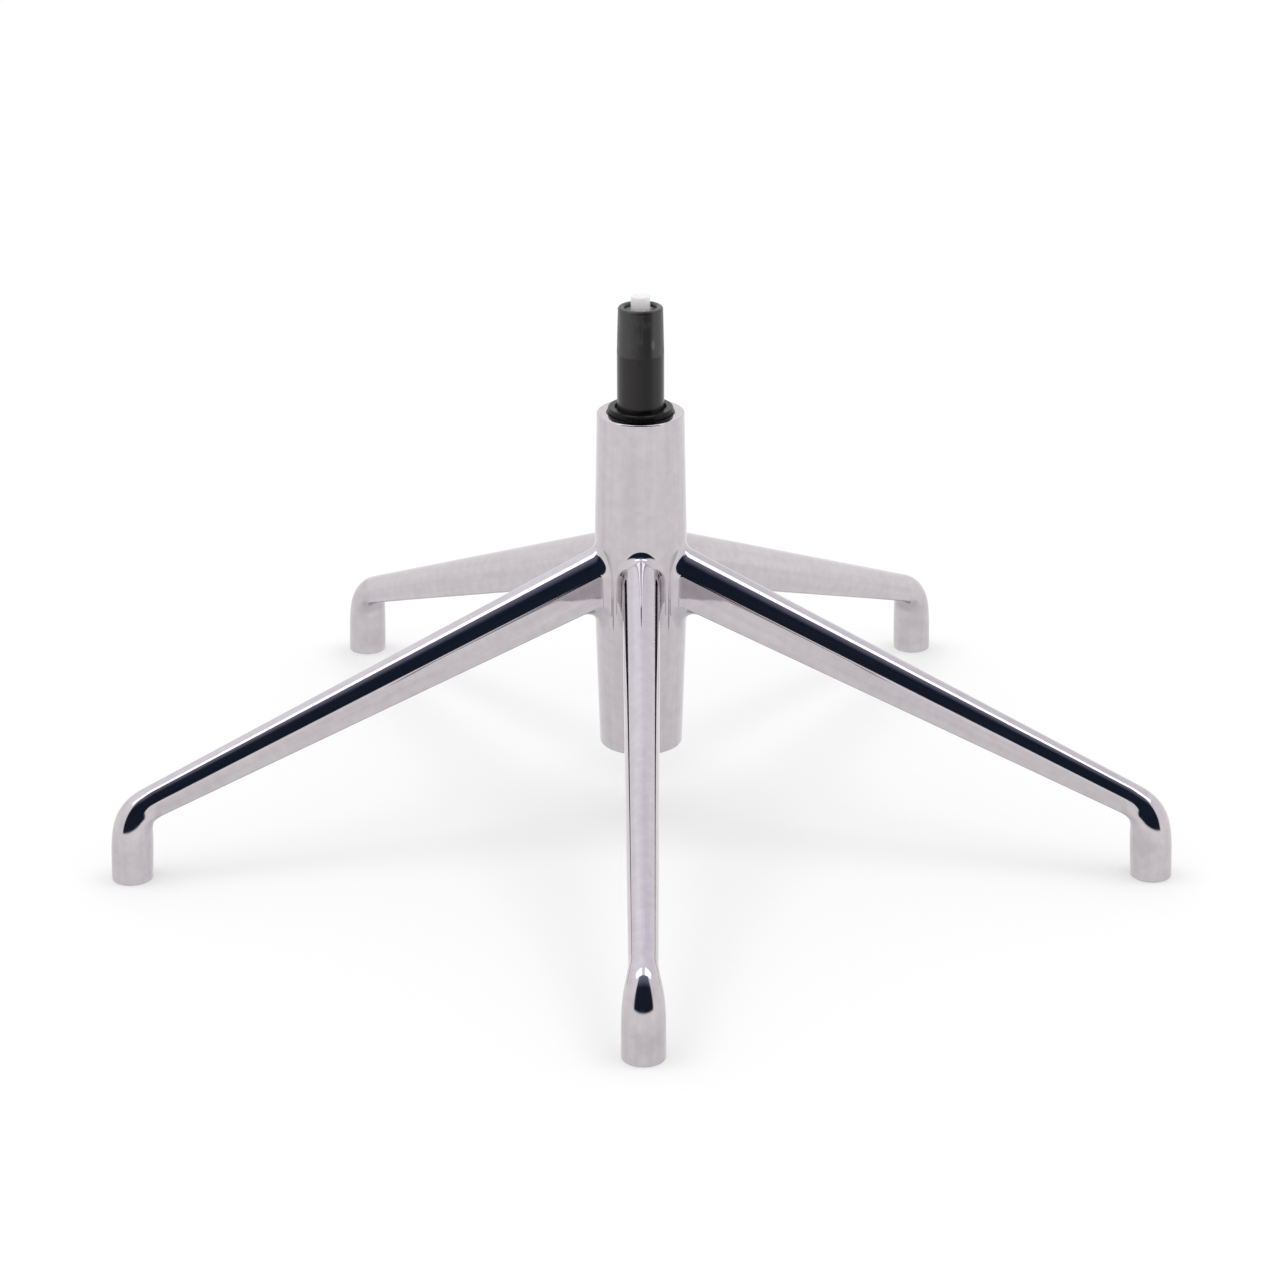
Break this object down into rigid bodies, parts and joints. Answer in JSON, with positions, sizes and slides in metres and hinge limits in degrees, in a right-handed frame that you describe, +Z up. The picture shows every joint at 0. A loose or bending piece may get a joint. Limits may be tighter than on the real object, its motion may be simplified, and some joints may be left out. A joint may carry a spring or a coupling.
{
  "type": "office chair star base",
  "caption": "Star base for a swivel chair: cast aluminium hub with sloping arms on bare round feet, and a gas-spring column with a release button standing in it.",
  "frame": {"origin": "on the column's axis, at the height of the floor, at the middle of the circle of castor sockets", "axes": "+Z up along the column, the front arm points along -Y"},
  "size_m": [0.6296, 0.6, 0.329],
  "materials": {
    "cast_aluminium": "mirror polished crowns, satin sides, hub and feet",
    "black_plastic": "semi-gloss",
    "black_steel": "semi-gloss black coating",
    "ring_steel": "bare steel",
    "bright_steel": "ground and plated",
    "plain_steel": "bare steel",
    "brass": "turned",
    "cage_plastic": "natural nylon",
    "rubber": "matt",
    "white_plastic": "translucent white"
  },
  "bodies": {
    "base": {"base_casting": "cast_aluminium", "guide_bush": "black_plastic", "lower_race": "plain_steel"},
    "bearing": {"bearing_cage": "cage_plastic", "bearing_balls": "bright_steel"},
    "rod": {"piston_rod": "bright_steel", "upper_race": "plain_steel", "bump_stop": "rubber", "piston": "brass", "piston_ring": "cage_plastic", "rod_washer": "plain_steel", "retaining_clip": "plain_steel"},
    "cylinder": {"column_tube": "black_steel", "rod_guide": "brass", "rod_seal": "rubber", "seal_washer": "plain_steel", "inner_tube": "plain_steel", "valve_body": "brass", "valve_seal": "rubber", "pin_seal": "rubber", "support_ring": "ring_steel"},
    "button": {"release_button": "white_plastic", "valve_pin": "plain_steel"}
  },
  "joints": [
    {"name": "column_swivel", "type": "hinge", "parent": "base", "child": "rod", "pos_m": [0, 0, 0.0619], "axis": [0, 0, 1], "continuous": true},
    {"name": "bearing_turn", "type": "hinge", "parent": "base", "child": "bearing", "pos_m": [0, 0, 0.0619], "axis": [0, 0, 1], "continuous": true},
    {"name": "column_lift", "type": "slide", "parent": "rod", "child": "cylinder", "axis": [0, 0, 1], "range_m": [0, 0.1]},
    {"name": "button_press", "type": "slide", "parent": "cylinder", "child": "button", "axis": [0, 0, -1], "range_m": [0, 0.0035], "stiffness_N_per_m": 3000, "springref_m": -0.002}
  ],
  "couplings": [
    {"joint": "bearing_turn", "follows": "column_swivel", "ratio": 0.5}
  ]
}
